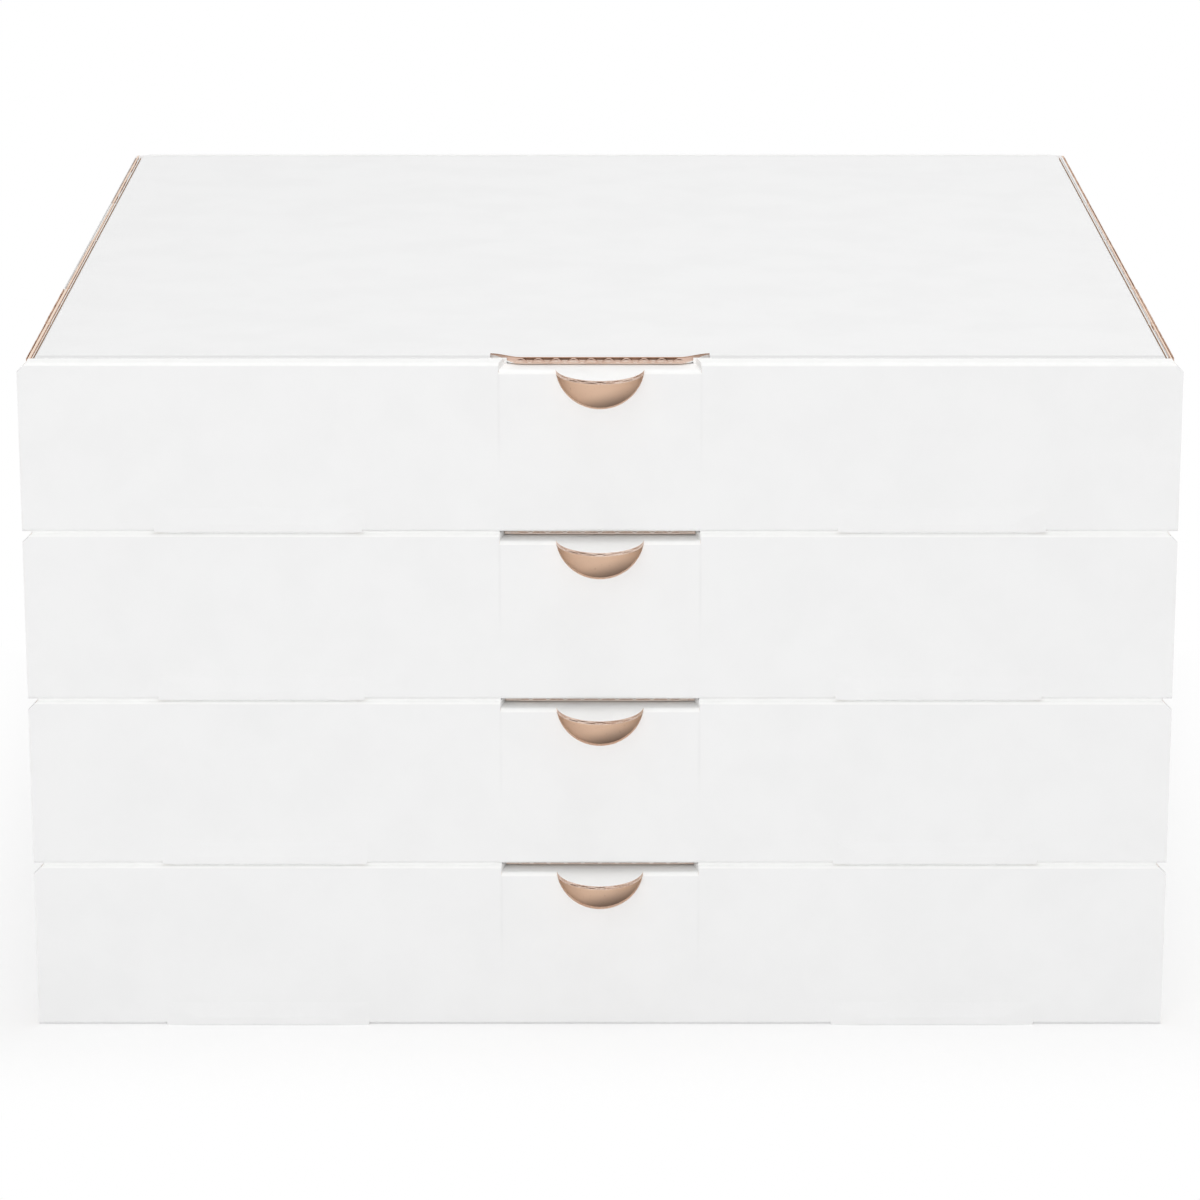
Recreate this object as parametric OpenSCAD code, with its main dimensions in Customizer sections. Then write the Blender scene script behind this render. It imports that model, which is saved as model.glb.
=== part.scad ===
// A stack of four low folding boxes of corrugated board, white outside and brown inside.
// Each box is one die-cut sheet: a tray with a rolled front wall, and a lid that tucks in.
// The top box opens at the rear crease of its lid. The boxes below are held shut by those above.
// x runs across the front, y runs from front to back, z runs up from the surface underneath.

/* [Box] */
// Width of a box across its front wall
box_w = 416; // [340:1:500]
// Depth of a box from front wall to back wall
box_d = 416; // [340:1:500]
// Height that each box adds to the stack
box_h = 63; // [56:1:84]

/* [Board] */
// Thickness of the corrugated board
board = 2.5; // [2.2:0.1:2.8]
// Thickness of each flat liner of the board
liner = 0.35; // [0.3:0.05:0.45]
// Distance from one flute to the next
flute_pitch = 6.3; // [5:0.1:8]
// Depth of the flute openings in a cut edge
flute_depth = 4; // [2:0.5:5]
// Depth of the two grooves beside the waved sheet, on an edge cut along the flutes
groove_depth = 0.8; // [0.4:0.1:1.2]
// Width of each of these grooves
groove_w = 0.45; // [0.3:0.05:0.6]
// Depth of the nicks that the cutting die leaves in the side walls' edges
nick_depth = 0.5; // [0.3:0.1:0.7]
// Outer radius of a fold between the bottom and a wall
fold_r = 1.7; // [1.5:0.1:2.4]
// Outer radius of the tighter folds at the top
crease_r = 1.5; // [1:0.1:2]
// Clearance between plies that are folded over each other
ply_gap = 0.2; // [0.1:0.05:0.4]

/* [Front wall] */
// Depth of the rolled front wall, with the flaps between its two panels
roll_depth = 8.8; // [8.6:0.1:11]
// Depth of the rolled top below the top of the lid
roll_drop = 0.7; // [0.5:0.1:1.4]
// Length by which the front panel stands out past each side wall
overhang = 2.4; // [1:0.1:4]
// Size of the slanted upper corners of the front panel
corner_cut = 3.3; // [2:0.1:5]
// Width of the lowered ledge in the middle of the roll
ledge_w = 72.4; // [66:0.2:90]
// Narrowing of the ledge from its front to its back, at each end
ledge_taper = 1.8; // [0.5:0.1:3]
// Angle at which the ledge and its tab tip down to the front
ledge_tip = 4; // [0:0.5:8]
// Gap between the ledge and the flaps folded inside the front wall
flap_clear = 0.4; // [0.2:0.1:2]
// Slanted inner corner of the flaps inside the front wall
flap_corner = 20; // [8:1:30]

/* [Thumb hole] */
// Radius of the half round thumb hole
hole_r = 16; // [12:0.1:20]
// Height of the hole's centre above the underside of its tab
hole_rise = 3.2; // [0:0.1:5]
// Thickness of the half round tab, where the cutting die has pressed the board flat
tab_t = 1.4; // [1.3:0.1:2.1]

/* [Locks] */
// Width of each locking tab under the inner front panel
lock_w = 51; // [30:1:70]
// Distance of each locking tab from the middle
lock_x = 123; // [80:1:150]
// Clearance round a locking tab in its slot
lock_gap = 0.4; // [0.2:0.1:0.8]
// Height by which the board bulges forward at a lock
bulge = 0.8; // [0.3:0.1:1.2]
// Height of the bulge on the front panel
bulge_h = 9; // [4:1:16]
// Length of the slope at each end of a bulge
bulge_run = 12; // [4:1:20]

/* [Lid] */
// Clearance between the lid and the walls round it
lid_gap = 0.4; // [0.3:0.1:0.8]
// Depth of the side walls' cut edges below the top of the lid
side_drop = 0.8; // [0.4:0.1:1.6]
// Height of the front tuck flap
tuck_h = 48; // [30:1:50]
// Lean of the tuck flap towards the inside
tuck_lean = 4.8; // [4:0.2:8]
// Shortening of the tuck flap's fold at each end
tuck_inset = 3; // [2:0.5:10]
// Further shortening of the tuck flap at its lower edge
tuck_taper = 9; // [4:1:20]
// Width of the straight part of the lip's front edge
lip_w = 57; // [40:1:60]
// Width of the lip where it leaves the lid
lip_root_w = 78.6; // [74:0.2:90]
// Distance from the lip's front edge to the outside of the front wall
lip_y = 6.8; // [6:0.1:7.2]
// Distance by which the cut beside the lip runs back into the lid
lip_flare = 3.6; // [2:0.1:5]
// Clearance between the lip and the ledge under it
lip_gap = 0.3; // [0.2:0.1:0.6]
// Height of the window that the lip leaves in the tuck flap
window_h = 8; // [6:0.5:12]
// Height of the lid's side flaps
wing_h = 42; // [20:1:46]
// Distance of the side flaps from the lid's front and rear folds
wing_inset = 12; // [9:1:20]
// Length of the slope at the front of a side flap
wing_front = 30; // [10:1:60]
// Length of the slope at the rear of a side flap
wing_rear = 12; // [6:1:30]
// Width of the cut at each rear corner of the lid
relief_w = 4; // [1:0.5:8]
// Length of this cut along the side
relief_d = 9; // [4:0.5:10]

/* [Rear] */
// Length of the flaps folded inside the back wall
rear_flap = 100; // [60:1:150]
// Gap in the crease that the top lid turns on
hinge_gap = 0.3; // [0.2:0.05:0.5]

/* [Hidden] */
white_board = [0.95, 0.95, 0.94];
// Length that a cutting shape runs past the face it cuts
over = 1;
// Overlap that joins two panels of the same sheet
join = 0.01;
fold_fn = 48;
hole_fn = 96;
// Steps across one flute opening
flute_steps = 6;
// Share of the flute's height at which an opening ends at its sides
flute_end = 0.8;
// Thickness of the waved sheet inside the board
medium = 0.35;
// Width of the fluted part of the tab's round edge, as a share of the hole's radius
tab_flutes = 1.6;
// Points along the curve at each side of the lip
lip_steps = 8;
// Places of the die's nicks, as shares of the depth of the box
nick_places = [0.16, 0.31, 0.54, 0.73];
// Length of a nick
nick_w = 2;
// Height of the small turn at the foot of a bulge
bulge_turn = 0.6;
// Share of a bulge's height that stands upright
bulge_flat = 1 / 3;

front = -box_d / 2;
back = box_d / 2;
roll_z = box_h - roll_drop;
ledge_z = box_h - board - lip_gap;
roll_y = front + roll_depth;
inner_y = roll_y - board;
flap_y = front + (roll_depth - board) / 2;
roll_x = box_w / 2 - corner_cut;
side_x = box_w / 2 - overhang;
side_in = side_x - board;
side_z = box_h - side_drop;
side_step_y = roll_y + ply_gap;
flap_z = roll_z - board - ply_gap;
flap_floor = board + 2 * ply_gap;
inner_x = side_in - ply_gap;
rear_y = back - board - ply_gap;
lid_x = side_in - lid_gap;
tuck_y = roll_y + lid_gap;
lid_z = box_h - board;
ledge_front_z = ledge_z - roll_depth * tan(ledge_tip);
tab_z = ledge_front_z - tab_t;
hole_z = tab_z + hole_rise;
lip_front = front + lip_y;

// Runs a profile drawn in depth and height across the box from x0 to x1
module across(x0, x1) {
    translate([x0, 0, 0])
        rotate([90, 0, 90])
            linear_extrude(x1 - x0)
                children();
}

// Gives an outline drawn in width and height its thickness, from y0 to y1
module upright(y0, y1) {
    translate([0, y1, 0])
        rotate([90, 0, 0])
            linear_extrude(y1 - y0)
                children();
}

module both_sides() {
    children();
    mirror([1, 0, 0])
        children();
}

// What a fold's round takes off a sharp corner at the origin, with the board in the first quadrant
module corner_waste(r) {
    difference() {
        translate([-over, -over])
            square(r + over);
        translate([r, r])
            circle(r, $fn = fold_fn);
    }
}

// One opening between the waved sheet and the upper liner, seen end on
module flute_opening(thickness) {
    half_h = thickness / 2 - liner;
    reach = acos(-flute_end) / 360 * flute_pitch;
    swing = half_h - medium / 2;
    wave = [for (i = [0 : flute_steps])
        let (x = reach * (2 * i / flute_steps - 1))
        [x, medium / 2 - swing * cos(360 * x / flute_pitch)]];
    polygon(concat(wave, [[reach, half_h], [-reach, half_h]]));
}

// Openings along a cut edge, above and below the waved sheet in turn.
// The edge lies at y = rim(x), and the board reaches back from it.
module flute_row(width, thickness, rim) {
    half = flute_pitch / 2;
    count = floor(width / 2 / half);
    for (i = [-count : count]) {
        x = i * half;
        translate([x, 0, 0])
            rotate([0, i % 2 == 0 ? 0 : 180, 0])
                upright(rim(x) - over, rim(x) + flute_depth)
                    flute_opening(thickness);
    }
}

// Profile of the rolled front wall: outer panel, top and inner panel
module roll_profile() {
    difference() {
        union() {
            translate([front, 0])
                square([board, roll_z]);
            translate([front, roll_z - board])
                square([roll_y - front, board]);
        }
        translate([front, roll_z])
            mirror([0, 1])
                corner_waste(crease_r);
        translate([roll_y, roll_z])
            rotate(180)
                corner_waste(crease_r);
        translate([front, 0])
            corner_waste(fold_r);
    }
}

// Outline of the inner front panel with its two locking tabs
module inner_outline() {
    translate([-inner_x, board + ply_gap])
        square([2 * inner_x, roll_z - board - ply_gap - crease_r]);
    for (side = [-1, 1])
        translate([side * lock_x - lock_w / 2, ply_gap])
            square([lock_w, board + ply_gap]);
}

module front_outline() {
    half = box_w / 2;
    polygon([
        [-half, 0],
        [half, 0],
        [half, roll_z - corner_cut],
        [roll_x, roll_z],
        [-roll_x, roll_z],
        [-half, roll_z - corner_cut]
    ]);
}

// What the fold between the front panel and the tipped ledge takes off their corner
module ledge_fold_waste() {
    r = crease_r;
    centre_y = front + r;
    centre_z = ledge_front_z + r * tan(ledge_tip) - r / cos(ledge_tip);
    lean_y = (r + over) * sin(ledge_tip);
    lean_z = (r + over) * cos(ledge_tip);
    difference() {
        polygon([
            [front - over, centre_z],
            [centre_y, centre_z],
            [centre_y - lean_y, centre_z + lean_z],
            [front - over, centre_z + lean_z]
        ]);
        translate([centre_y, centre_z])
            circle(r, $fn = fold_fn);
    }
}

// The middle of the roll, pressed down to a tipped ledge so that the lid's lip lies over it
module ledge_waste() {
    front_half = ledge_w / 2;
    slope = ledge_taper / roll_depth;
    drop = over * tan(ledge_tip);
    front_over = front_half + over * slope;
    back_over = front_half - (roll_depth + over) * slope;
    intersection() {
        linear_extrude(box_h + over)
            polygon([
                [-front_over, front - over],
                [front_over, front - over],
                [back_over, roll_y + over],
                [-back_over, roll_y + over]
            ]);
        across(-front_half - over, front_half + over) {
            polygon([
                [front - over, ledge_front_z - drop],
                [roll_y + over, ledge_z + drop],
                [roll_y + over, box_h],
                [front - over, box_h]
            ]);
            ledge_fold_waste();
        }
    }
}

// Half round tab left by the thumb hole, in line with the tipped ledge behind it
module thumb_tab() {
    translate([0, front, ledge_front_z - join])
        rotate([ledge_tip, 0, 0])
            difference() {
                intersection() {
                    translate([0, hole_rise, -tab_t])
                        cylinder(h = tab_t, r = hole_r, $fn = hole_fn);
                    translate([-hole_r, -2 * hole_r, -tab_t])
                        cube([2 * hole_r, 2 * hole_r + crease_r, tab_t]);
                }
                translate([0, 0, -tab_t / 2])
                    flute_row(
                        tab_flutes * hole_r,
                        tab_t,
                        function (x) hole_rise - sqrt(hole_r * hole_r - x * x)
                    );
            }
}

module thumb_hole() {
    intersection() {
        translate([0, front - over, hole_z])
            rotate([-90, 0, 0])
                cylinder(h = board + over + ply_gap / 2, r = hole_r, $fn = hole_fn);
        translate([-hole_r, front - 2 * over, hole_z - hole_r - over])
            cube([2 * hole_r, board + 3 * over, hole_r + over - hole_rise]);
    }
}

// Low swelling of the lower front fold where a locking tab has been pushed through
module lock_bulge() {
    half = lock_w / 2;
    intersection() {
        across(-half - bulge_run, half + bulge_run)
            polygon([
                [front + fold_r, 0],
                [front - bulge + bulge_turn / 2, 0],
                [front - bulge, bulge_turn],
                [front - bulge, bulge_h * bulge_flat],
                [front, bulge_h],
                [front + fold_r, bulge_h]
            ]);
        linear_extrude(bulge_h)
            polygon([
                [-half - bulge_run, front],
                [-half, front - bulge],
                [half, front - bulge],
                [half + bulge_run, front],
                [half, front + fold_r],
                [-half, front + fold_r]
            ]);
    }
}

module front_wall() {
    difference() {
        union() {
            upright(front, front + board)
                front_outline();
            across(-roll_x, roll_x)
                roll_profile();
            across(-ledge_w / 2, ledge_w / 2)
                polygon([
                    [front, ledge_front_z - board],
                    [roll_y, ledge_z - board],
                    [roll_y, lid_z],
                    [front, lid_z]
                ]);
            upright(inner_y, roll_y)
                inner_outline();
        }
        across(-box_w, box_w)
            translate([front, 0])
                corner_waste(fold_r);
        across(-box_w, box_w)
            translate([front, roll_z])
                mirror([0, 1])
                    corner_waste(crease_r);
        ledge_waste();
        thumb_hole();
    }
    thumb_tab();
    for (side = [-1, 1])
        translate([side * lock_x, 0, 0])
            lock_bulge();
}

// Right side wall with its cut upper edge and the flaps folded at its ends
module side_wall() {
    difference() {
        translate([side_in, 0, 0])
            rotate([90, 0, 90])
                linear_extrude(board)
                    polygon([
                        [flap_y, 0],
                        [rear_y, 0],
                        [rear_y, side_z],
                        [side_step_y, side_z],
                        [side_step_y, flap_z],
                        [flap_y, flap_z]
                    ]);
        translate([side_x, flap_y, -over])
            rotate(90)
                linear_extrude(box_h + 2 * over)
                    corner_waste(fold_r);
        translate([side_x, rear_y, -over])
            rotate(180)
                linear_extrude(box_h + 2 * over)
                    corner_waste(fold_r);
        for (x = [side_in + liner, side_x - liner - groove_w])
            translate([x, side_step_y - over, side_z - groove_depth])
                cube([groove_w, box_d, groove_depth + over]);
        for (place = nick_places)
            translate([side_in - over, front + place * box_d, side_z - nick_depth])
                cube([board + 2 * over, nick_w, nick_depth + over]);
    }
    front_flap();
    rear_flap_panel();
}

module front_flap() {
    inner_end = ledge_w / 2 + flap_clear;
    upright(flap_y, flap_y + board)
        polygon([
            [side_in + join, flap_floor],
            [side_in + join, flap_z],
            [inner_end, flap_z],
            [inner_end, flap_floor + flap_corner],
            [inner_end + flap_corner, flap_floor]
        ]);
}

module rear_flap_panel() {
    inner_end = side_in - rear_flap;
    flap_top = lid_z - 2 * ply_gap;
    upright(rear_y - board, rear_y)
        polygon([
            [side_in + join, flap_floor],
            [side_in + join, flap_top],
            [inner_end, flap_top],
            [inner_end, flap_floor + flap_corner],
            [inner_end + flap_corner, flap_floor]
        ]);
}

module bottom_panel() {
    slot_w = lock_w + 2 * lock_gap;
    difference() {
        translate([-side_x, front, 0])
            cube([2 * side_x, box_d, board]);
        for (side = [-1, 1])
            translate([side * lock_x - slot_w / 2, inner_y - lock_gap, -over])
                cube([slot_w, board + 2 * lock_gap, board + 2 * over]);
    }
}

// Back wall, which tapers at its upper corners to the width of the lid's rear fold
module back_wall() {
    upright(back - board, back)
        polygon([
            [-side_x, 0],
            [side_x, 0],
            [side_x, side_z],
            [lid_x - relief_w, box_h],
            [relief_w - lid_x, box_h],
            [-side_x, side_z]
        ]);
}

// What is cut from the outside of the folds round the bottom and at the rear of the lid
module outer_fold_waste() {
    across(-box_w, box_w)
        translate([back, 0])
            mirror([1, 0])
                corner_waste(fold_r);
    across(-box_w, box_w)
        translate([back, box_h])
            rotate(180)
                corner_waste(crease_r);
    both_sides()
        translate([0, flap_y, 0])
            upright(0, box_d)
                translate([side_x, 0])
                    mirror([1, 0])
                        corner_waste(fold_r);
}

module tray() {
    front_wall();
    difference() {
        union() {
            bottom_panel();
            both_sides()
                side_wall();
            back_wall();
        }
        outer_fold_waste();
        across(-box_w, box_w)
            translate([front, 0])
                corner_waste(fold_r);
    }
}

// Front tuck flap, hung from the lid's front fold and leaning inwards
module tuck_flap() {
    fold_half = lid_x - tuck_inset;
    low_half = fold_half - tuck_taper;
    window_half = lip_root_w / 2;
    translate([0, tuck_y, box_h])
        rotate([tuck_lean, 0, 0])
            difference() {
                upright(0, board)
                    polygon([
                        [-fold_half, -board / 2],
                        [fold_half, -board / 2],
                        [low_half, -tuck_h],
                        [-low_half, -tuck_h]
                    ]);
                translate([-window_half, -over, -window_h])
                    cube([2 * window_half, board + 2 * over, window_h - board]);
            }
}

// Lip that stays level with the lid where the front fold is left out.
// Each side of it is one smooth curve from its front edge to its root.
module lip() {
    tip = lip_w / 2;
    root = lip_root_w / 2;
    depth = tuck_y - lip_front + lip_flare;
    curve = [for (i = [0 : lip_steps])
        let (share = i / lip_steps)
        [tip + (root - tip) * share, depth * share * share * (3 - 2 * share)]];
    mirrored = [for (i = [lip_steps : -1 : 0]) [-curve[i][0], curve[i][1]]];
    translate([0, lip_front, lid_z])
        difference() {
            linear_extrude(board)
                polygon(concat(curve, [[root, depth + over], [-root, depth + over]], mirrored));
            translate([0, 0, board / 2])
                flute_row(lip_w, board, function (x) 0);
        }
}

// Right side flap of the lid, folded down inside the side wall
module lid_wing() {
    first = tuck_y + wing_inset;
    last = back - wing_inset;
    across(lid_x - board, lid_x)
        polygon([
            [first, box_h],
            [last, box_h],
            [last - wing_rear, box_h - wing_h],
            [first + wing_front, box_h - wing_h]
        ]);
}

// Cut at the right rear corner of the lid
module corner_relief() {
    translate([lid_x, back, -over])
        linear_extrude(box_h + 2 * over)
            polygon([
                [-relief_w, over],
                [-relief_w, 0],
                [-relief_w / 3, -relief_d / 2],
                [0, -relief_d],
                [over, -relief_d],
                [over, over]
            ]);
}

module lid() {
    difference() {
        union() {
            translate([-lid_x, tuck_y, lid_z])
                cube([2 * lid_x, back - tuck_y, board]);
            tuck_flap();
            both_sides()
                lid_wing();
        }
        both_sides()
            upright(front - over, back + over)
                translate([lid_x, box_h])
                    rotate(180)
                        corner_waste(crease_r);
        both_sides()
            across(lip_root_w / 2, box_w)
                translate([tuck_y, box_h])
                    mirror([0, 1])
                        corner_waste(crease_r);
        across(-lip_root_w / 2, lip_root_w / 2)
            translate([tuck_y - over, lid_z - over])
                square([lip_flare + over, box_h]);
        both_sides()
            corner_relief();
        outer_fold_waste();
    }
    lip();
}

// What parts the lid from the back wall, on a slant through the crease: all above the wall's half
module above_crease() {
    reach = board + over;
    across(-box_w, box_w)
        translate([back, box_h - hinge_gap])
            polygon([[over, over], [-reach, -reach], [-reach, reach]]);
}

// All below the lid's half of the crease
module below_crease() {
    reach = board + over;
    across(-box_w, box_w)
        translate([back - hinge_gap, box_h])
            polygon([[over, over], [over, -reach], [-reach, -reach]]);
}

module closed_box() {
    tray();
    lid();
}

module bottom_box() {
    color(white_board)
        closed_box();
}

module second_box() {
    color(white_board)
        translate([0, 0, box_h])
            closed_box();
}

module third_box() {
    color(white_board)
        translate([0, 0, 2 * box_h])
            closed_box();
}

module top_box_tray() {
    color(white_board)
        translate([0, 0, 3 * box_h])
            difference() {
                tray();
                above_crease();
            }
}

module top_box_lid() {
    color(white_board)
        translate([0, 0, 3 * box_h])
            difference() {
                lid();
                below_crease();
            }
}

bottom_box();
second_box();
third_box();
top_box_tray();
top_box_lid();
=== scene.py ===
import math

import bmesh
import bpy
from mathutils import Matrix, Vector


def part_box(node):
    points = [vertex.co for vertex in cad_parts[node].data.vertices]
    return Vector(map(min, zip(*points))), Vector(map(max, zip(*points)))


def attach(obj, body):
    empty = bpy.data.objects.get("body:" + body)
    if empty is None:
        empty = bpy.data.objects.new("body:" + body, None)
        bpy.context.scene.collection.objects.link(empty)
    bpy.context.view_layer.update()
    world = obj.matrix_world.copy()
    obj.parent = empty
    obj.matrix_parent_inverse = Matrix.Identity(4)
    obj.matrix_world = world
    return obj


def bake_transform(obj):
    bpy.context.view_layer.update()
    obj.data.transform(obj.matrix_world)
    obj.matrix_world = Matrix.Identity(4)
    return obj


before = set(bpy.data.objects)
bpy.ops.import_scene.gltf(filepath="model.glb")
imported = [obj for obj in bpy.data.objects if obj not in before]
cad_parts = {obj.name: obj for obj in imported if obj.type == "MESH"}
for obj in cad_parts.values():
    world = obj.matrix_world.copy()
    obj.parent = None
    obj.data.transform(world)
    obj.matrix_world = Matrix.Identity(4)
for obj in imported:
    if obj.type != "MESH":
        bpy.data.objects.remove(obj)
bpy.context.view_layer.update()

millimetre = 0.001

# sizes of the folded sheet in mm, as the part is built
sheet = {
    "board": 2.5,
    "half": 208.0,           # half the front's width, and half the depth
    "sideOut": 205.6,        # outside of a side wall
    "lidHalf": 202.7,
    "plyGap": 0.2,
    "rollDepth": 8.8,        # from the front panel's face to the back of the rolled wall
    "rollDrop": 0.7,
    "lidGap": 0.4,
    "lipGap": 0.3,
    "ledgeTip": 4.0,         # degrees
    "ledgeHalf": 36.2,
    "tabBoard": 1.4,
    "holeRadius": 16.0,
    "holeBelow": 1.615,      # from the top of the box down to the hole's centre
    "sideDrop": 0.8,
    "holeRise": 3.2,         # from the underside of the thumb tab up to the hole's centre
    "lipFront": 6.8,         # from the front panel's face to the lip's front edge
    "tuckLean": 4.8,         # degrees
    "flutePitch": 6.3,
}

boxNames = ["bottom_box", "second_box", "third_box", "top_box_tray"]
lidName = "top_box_lid"
boxHeight = (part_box("second_box")[0][2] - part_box("bottom_box")[0][2]) / millimetre


def linearOf(red, green, blue):
    # screen values from 0 to 255, as the linear colour that a socket takes
    def one(value):
        share = value / 255
        return share / 12.92 if share <= 0.04045 else ((share + 0.055) / 1.055) ** 2.4
    return (one(red), one(green), one(blue), 1.0)


# Camera, at the photograph's viewing angle

cameraPlace = {
    "distance": 1604.7,      # mm in front of the front panels
    "height": 614.4,
    "tilt": 15.69,           # degrees below the horizon
    "lens": 138.39,
    "sensor": 36.0,
}


def makeCamera(place):
    camera = bpy.data.objects.new("camera", bpy.data.cameras.new("camera"))
    bpy.context.scene.collection.objects.link(camera)
    camera.data.lens = place["lens"]
    camera.data.sensor_width = place["sensor"]
    camera.data.sensor_fit = "HORIZONTAL"
    camera.data.clip_end = 50
    y = -(sheet["half"] + place["distance"]) * millimetre
    camera.location = (0, y, place["height"] * millimetre)
    camera.rotation_euler = (math.radians(90 - place["tilt"]), 0, 0)
    bpy.context.scene.camera = camera


makeCamera(cameraPlace)
print("camera placed")


# Shader groups that more than one material uses

def newGroup(name, inputs, outputs):
    group = bpy.data.node_groups.new(name, "ShaderNodeTree")
    for label, kind, value in inputs:
        socket = group.interface.new_socket(name=label, in_out="INPUT", socket_type=kind)
        if value is not None:
            socket.default_value = value
    for label, kind in outputs:
        group.interface.new_socket(name=label, in_out="OUTPUT", socket_type=kind)
    return group, group.nodes.new("NodeGroupInput"), group.nodes.new("NodeGroupOutput")


def plug(tree, source, target):
    # source and target are sockets, or source is a plain value
    if hasattr(source, "is_linked"):
        tree.links.new(source, target)
    else:
        target.default_value = source


def calculate(tree, operation, *values):
    node = tree.nodes.new("ShaderNodeMath")
    node.operation = operation
    for socket, value in zip(node.inputs, values):
        plug(tree, value, socket)
    return node.outputs[0]


def noise(tree, vector, scale, detail=3.0, roughness=0.5):
    node = tree.nodes.new("ShaderNodeTexNoise")
    plug(tree, vector, node.inputs["Vector"])
    plug(tree, scale, node.inputs["Scale"])
    node.inputs["Detail"].default_value = detail
    node.inputs["Roughness"].default_value = roughness
    return node.outputs["Fac"]


def stretched(tree, vector, x, y, z):
    node = tree.nodes.new("ShaderNodeVectorMath")
    node.operation = "MULTIPLY"
    plug(tree, vector, node.inputs[0])
    node.inputs[1].default_value = (x, y, z)
    return node.outputs[0]


def ramp(tree, value, low, high, outLow=0.0, outHigh=1.0):
    node = tree.nodes.new("ShaderNodeMapRange")
    node.interpolation_type = "SMOOTHSTEP"
    plug(tree, value, node.inputs["Value"])
    labels = ("From Min", "From Max", "To Min", "To Max")
    for label, number in zip(labels, (low, high, outLow, outHigh)):
        plug(tree, number, node.inputs[label])
    return node.outputs["Result"]


def mixColour(tree, factor, first, second):
    node = tree.nodes.new("ShaderNodeMix")
    node.data_type = "RGBA"
    factorSocket, firstSocket, secondSocket = node.inputs[0], node.inputs[6], node.inputs[7]
    plug(tree, factor, factorSocket)
    plug(tree, first, firstSocket)
    plug(tree, second, secondSocket)
    return node.outputs[2]


def splitVector(tree, vector):
    node = tree.nodes.new("ShaderNodeSeparateXYZ")
    plug(tree, vector, node.inputs[0])
    return node.outputs["X"], node.outputs["Y"], node.outputs["Z"]


def makePaperGrain():
    # fibres and cloudy formation of a paper liner
    group, given, out = newGroup(
        "paperGrain",
        [("Vector", "NodeSocketVector", None), ("Fibre Size", "NodeSocketFloat", 0.6),
         ("Cloud Size", "NodeSocketFloat", 20.0)],
        [("Fibres", "NodeSocketFloat"), ("Clouds", "NodeSocketFloat"), ("Height", "NodeSocketFloat")])
    vector = given.outputs["Vector"]
    fibreScale = calculate(group, "DIVIDE", 1000.0, given.outputs["Fibre Size"])
    cloudScale = calculate(group, "DIVIDE", 1000.0, given.outputs["Cloud Size"])
    along = noise(group, stretched(group, vector, 1.0, 0.25, 1.0), fibreScale, 4.0, 0.6)
    across = noise(group, stretched(group, vector, 0.3, 1.0, 0.7), fibreScale, 3.0, 0.6)
    fibres = calculate(group, "MULTIPLY", calculate(group, "ADD", along, across), 0.5)
    clouds = noise(group, vector, cloudScale, 3.0, 0.55)
    fine = calculate(group, "MULTIPLY", fibres, 0.7)
    height = calculate(group, "ADD", fine, calculate(group, "MULTIPLY", clouds, 0.3))
    plug(group, fibres, out.inputs["Fibres"])
    plug(group, clouds, out.inputs["Clouds"])
    plug(group, height, out.inputs["Height"])
    return group


def makeFluteRipple():
    # faint washboard that the flutes press through the liner, across x or, on the side walls, up z
    group, given, out = newGroup(
        "fluteRipple",
        [("Vector", "NodeSocketVector", None), ("Normal", "NodeSocketVector", None),
         ("Pitch", "NodeSocketFloat", sheet["flutePitch"])],
        [("Height", "NodeSocketFloat")])
    x, y, z = splitVector(group, given.outputs["Vector"])
    facing = splitVector(group, given.outputs["Normal"])[0]
    sideways = calculate(group, "GREATER_THAN", calculate(group, "ABSOLUTE", facing), 0.7)
    difference = calculate(group, "SUBTRACT", z, x)
    across = calculate(group, "MULTIPLY_ADD", sideways, difference, x)
    pitch = calculate(group, "MULTIPLY", given.outputs["Pitch"], millimetre)
    turns = calculate(group, "DIVIDE", across, pitch)
    wave = calculate(group, "COSINE", calculate(group, "MULTIPLY", turns, 2 * math.pi))
    uneven = noise(group, given.outputs["Vector"], 14.0, 2.0)
    plug(group, calculate(group, "MULTIPLY", wave, uneven), out.inputs["Height"])
    return group


def makeEdgeRub():
    # where hands and neighbours rub: the box's own edges, broken up by noise
    group, given, out = newGroup(
        "edgeRub",
        [("Vector", "NodeSocketVector", None), ("Width", "NodeSocketFloat", 3.0),
         ("Amount", "NodeSocketFloat", 0.5)],
        [("Mask", "NodeSocketFloat")])
    x, y, z = splitVector(group, given.outputs["Vector"])
    half = sheet["half"] * millimetre
    high = boxHeight * millimetre
    fromSide = calculate(group, "SUBTRACT", half, calculate(group, "ABSOLUTE", x))
    fromEnd = calculate(group, "SUBTRACT", half, calculate(group, "ABSOLUTE", y))
    raised = calculate(group, "ADD", z, high * 0.001)       # keeps a box's bottom out of the box below
    level = calculate(group, "MODULO", raised, high)
    fromLevel = calculate(group, "MINIMUM", level, calculate(group, "SUBTRACT", high, level))
    ends = [calculate(group, "ABSOLUTE", value) for value in (fromSide, fromEnd, fromLevel)]
    least = calculate(group, "MINIMUM", calculate(group, "MINIMUM", ends[0], ends[1]), ends[2])
    most = calculate(group, "MAXIMUM", calculate(group, "MAXIMUM", ends[0], ends[1]), ends[2])
    total = calculate(group, "ADD", calculate(group, "ADD", ends[0], ends[1]), ends[2])
    second = calculate(group, "SUBTRACT", calculate(group, "SUBTRACT", total, least), most)
    reach = calculate(group, "MULTIPLY", given.outputs["Width"], millimetre)
    closeBy = ramp(group, second, 0.0, reach, 1.0, 0.0)
    patches = ramp(group, noise(group, given.outputs["Vector"], 90.0, 4.0, 0.6), 0.48, 0.7)
    rubbed = calculate(group, "MULTIPLY", closeBy, patches)
    plug(group, calculate(group, "MULTIPLY", rubbed, given.outputs["Amount"]), out.inputs["Mask"])
    return group


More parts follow.
